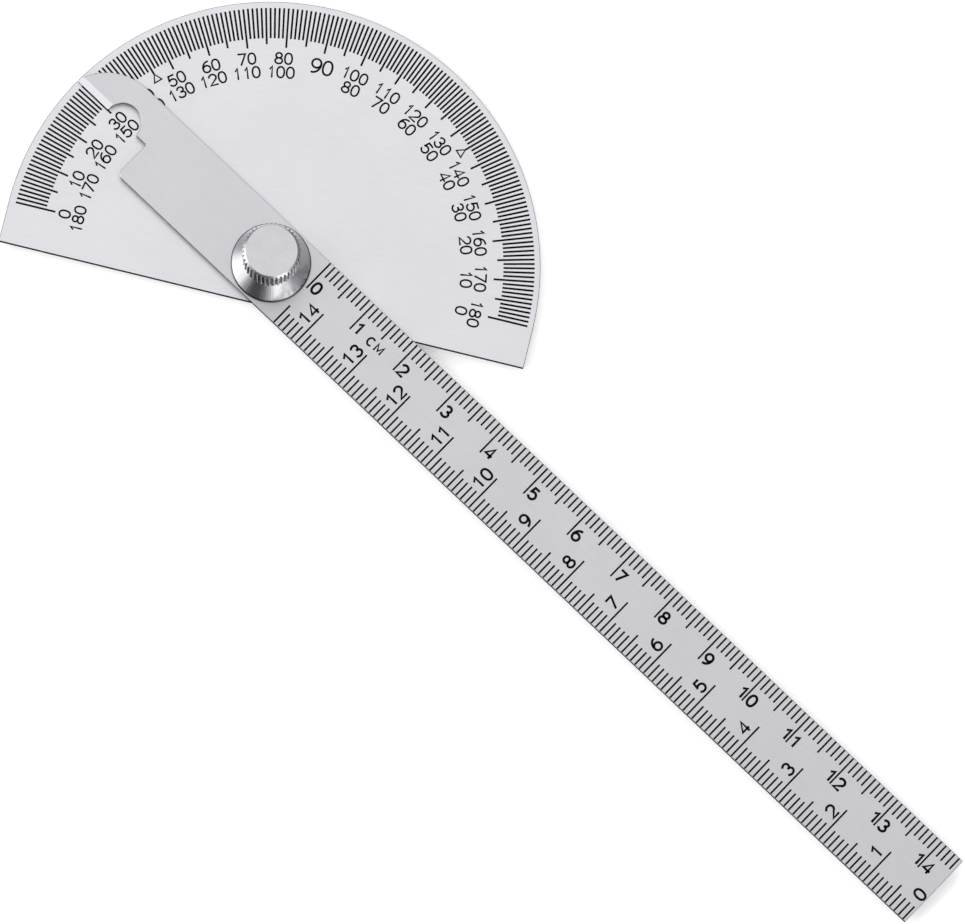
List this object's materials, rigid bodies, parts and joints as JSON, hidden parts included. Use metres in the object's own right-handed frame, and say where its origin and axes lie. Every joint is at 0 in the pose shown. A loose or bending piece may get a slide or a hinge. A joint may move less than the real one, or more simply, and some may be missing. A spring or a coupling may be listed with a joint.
{
  "type": "protractor",
  "caption": "Half-round steel protractor with a turning ruler arm, held at its reading by a knurled thumb nut on a screw.",
  "frame": {"origin": "on the screw's axis, at the underside of its flat head, which is the face the tool lies on", "axes": "+Z along the screw towards the thumb nut; +X along the dial's 0-180 line towards 180 of the outer row; +Y towards the 90 mark"},
  "size_m": [0.1798, 0.1274, 0.0134],
  "materials": {
    "dial_steel": "satin stainless sheet",
    "arm_steel": "satin stainless sheet",
    "screw_steel": "plated",
    "skirt_chrome": "polished plating",
    "nut_chrome": "plated, straight knurl, turned top",
    "spring_steel": "plain spring steel",
    "scale_ink": "black fill in etched marks"
  },
  "bodies": {
    "base": {"dial_plate": "dial_steel", "pivot_screw": "screw_steel"},
    "arm": {"ruler_arm": "arm_steel"},
    "skirt": {"skirt_washer": "skirt_chrome", "spring_washer": "spring_steel"},
    "nut": {"thumb_nut": "nut_chrome"}
  },
  "joints": [
    {"name": "arm_swing", "type": "hinge", "parent": "base", "child": "arm", "pos_m": [0, 0, 0.0029], "axis": [0, 0, 1], "continuous": true},
    {"name": "skirt_lift", "type": "slide", "parent": "base", "child": "skirt", "axis": [0, 0, 1], "range_m": [0, 0.0014]},
    {"name": "nut_turn", "type": "hinge", "parent": "skirt", "child": "nut", "pos_m": [0, 0, 0.0103], "axis": [0, 0, 1], "range_deg": [0, 720]}
  ],
  "couplings": [
    {"joint": "nut_turn", "follows": "skirt_lift", "rad_per_m": 8975.9}
  ]
}
